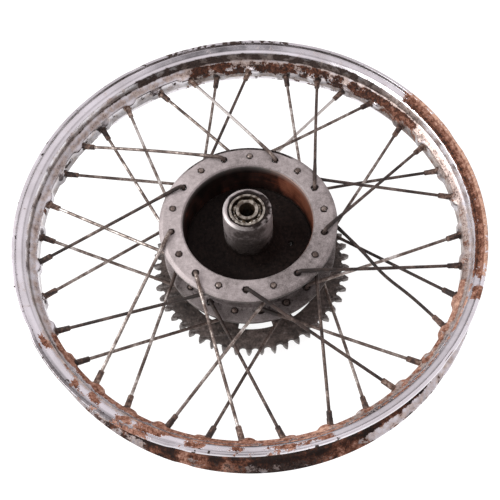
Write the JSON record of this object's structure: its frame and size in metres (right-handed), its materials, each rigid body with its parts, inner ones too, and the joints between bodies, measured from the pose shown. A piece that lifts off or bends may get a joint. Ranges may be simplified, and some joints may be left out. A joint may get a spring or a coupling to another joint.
{
  "type": "spoked motorcycle wheel",
  "caption": "Wire-spoked rear wheel without tyre: rolled steel rim, full-width drum hub with ball bearings, crossed spokes with nipples and a bolted chain sprocket.",
  "frame": {"origin": "point of the wheel axis on the floor the wheel lies on, under its sprocket bolts", "axes": "+Z along the wheel axis, up out of the brake side; +X and +Y in the floor plane"},
  "size_m": [0.46, 0.4592, 0.1236],
  "materials": {
    "chromed_steel": "worn chrome with rust",
    "spoke_steel": "dull, rust-browned",
    "cast_aluminium": "oxidised casting",
    "drum_iron": "rusty, dusty",
    "bearing_steel": "greasy",
    "greasy_cage": "greasy",
    "spacer_steel": "dull",
    "seal_rubber": "matt",
    "greasy_sprocket_steel": "old chain grease",
    "bolt_steel": "dull zinc"
  },
  "bodies": {
    "wheel": {"rim": "chromed_steel", "hub_shell": "cast_aluminium", "brake_drum_liner": "drum_iron", "outer_race_brake_side": "bearing_steel", "outer_race_sprocket_side": "bearing_steel", "oil_seal": "seal_rubber", "sprocket": "greasy_sprocket_steel", "lock_plate_1": "bolt_steel", "lock_plate_2": "bolt_steel", "lock_plate_3": "bolt_steel", "sprocket_bolt_1": "bolt_steel", "sprocket_bolt_2": "bolt_steel", "sprocket_bolt_3": "bolt_steel", "sprocket_bolt_4": "bolt_steel", "sprocket_bolt_5": "bolt_steel", "sprocket_bolt_6": "bolt_steel", "spoke_01": "spoke_steel", "spoke_02": "spoke_steel", "spoke_03": "spoke_steel", "spoke_04": "spoke_steel", "spoke_05": "spoke_steel", "spoke_06": "spoke_steel", "spoke_07": "spoke_steel", "spoke_08": "spoke_steel", "spoke_09": "spoke_steel", "spoke_10": "spoke_steel", "spoke_11": "spoke_steel", "spoke_12": "spoke_steel", "spoke_13": "spoke_steel", "spoke_14": "spoke_steel", "spoke_15": "spoke_steel", "spoke_16": "spoke_steel", "spoke_17": "spoke_steel", "spoke_18": "spoke_steel", "spoke_19": "spoke_steel", "spoke_20": "spoke_steel", "spoke_21": "spoke_steel", "spoke_22": "spoke_steel", "spoke_23": "spoke_steel", "spoke_24": "spoke_steel", "spoke_25": "spoke_steel", "spoke_26": "spoke_steel", "spoke_27": "spoke_steel", "spoke_28": "spoke_steel", "spoke_29": "spoke_steel", "spoke_30": "spoke_steel", "spoke_31": "spoke_steel", "spoke_32": "spoke_steel", "spoke_33": "spoke_steel", "spoke_34": "spoke_steel", "spoke_35": "spoke_steel", "spoke_36": "spoke_steel"},
    "spindle_sleeve": {"inner_race_brake_side": "bearing_steel", "spacer_tube": "spacer_steel", "inner_race_sprocket_side": "bearing_steel"},
    "brake_side_balls": {"ball_cage_brake_side": "greasy_cage"},
    "sprocket_side_balls": {"ball_cage_sprocket_side": "greasy_cage"}
  },
  "joints": [
    {"name": "sleeve_spin", "type": "hinge", "parent": "wheel", "child": "spindle_sleeve", "pos_m": [0, 0, 0.0688], "axis": [0, 0, 1], "continuous": true},
    {"name": "brake_side_ball_orbit", "type": "hinge", "parent": "wheel", "child": "brake_side_balls", "pos_m": [0, 0, 0.1173], "axis": [0, 0, 1], "continuous": true},
    {"name": "sprocket_side_ball_orbit", "type": "hinge", "parent": "wheel", "child": "sprocket_side_balls", "pos_m": [0, 0, 0.0133], "axis": [0, 0, 1], "continuous": true}
  ],
  "couplings": [
    {"joint": "brake_side_ball_orbit", "follows": "sleeve_spin", "ratio": 0.381},
    {"joint": "sprocket_side_ball_orbit", "follows": "sleeve_spin", "ratio": 0.381}
  ]
}
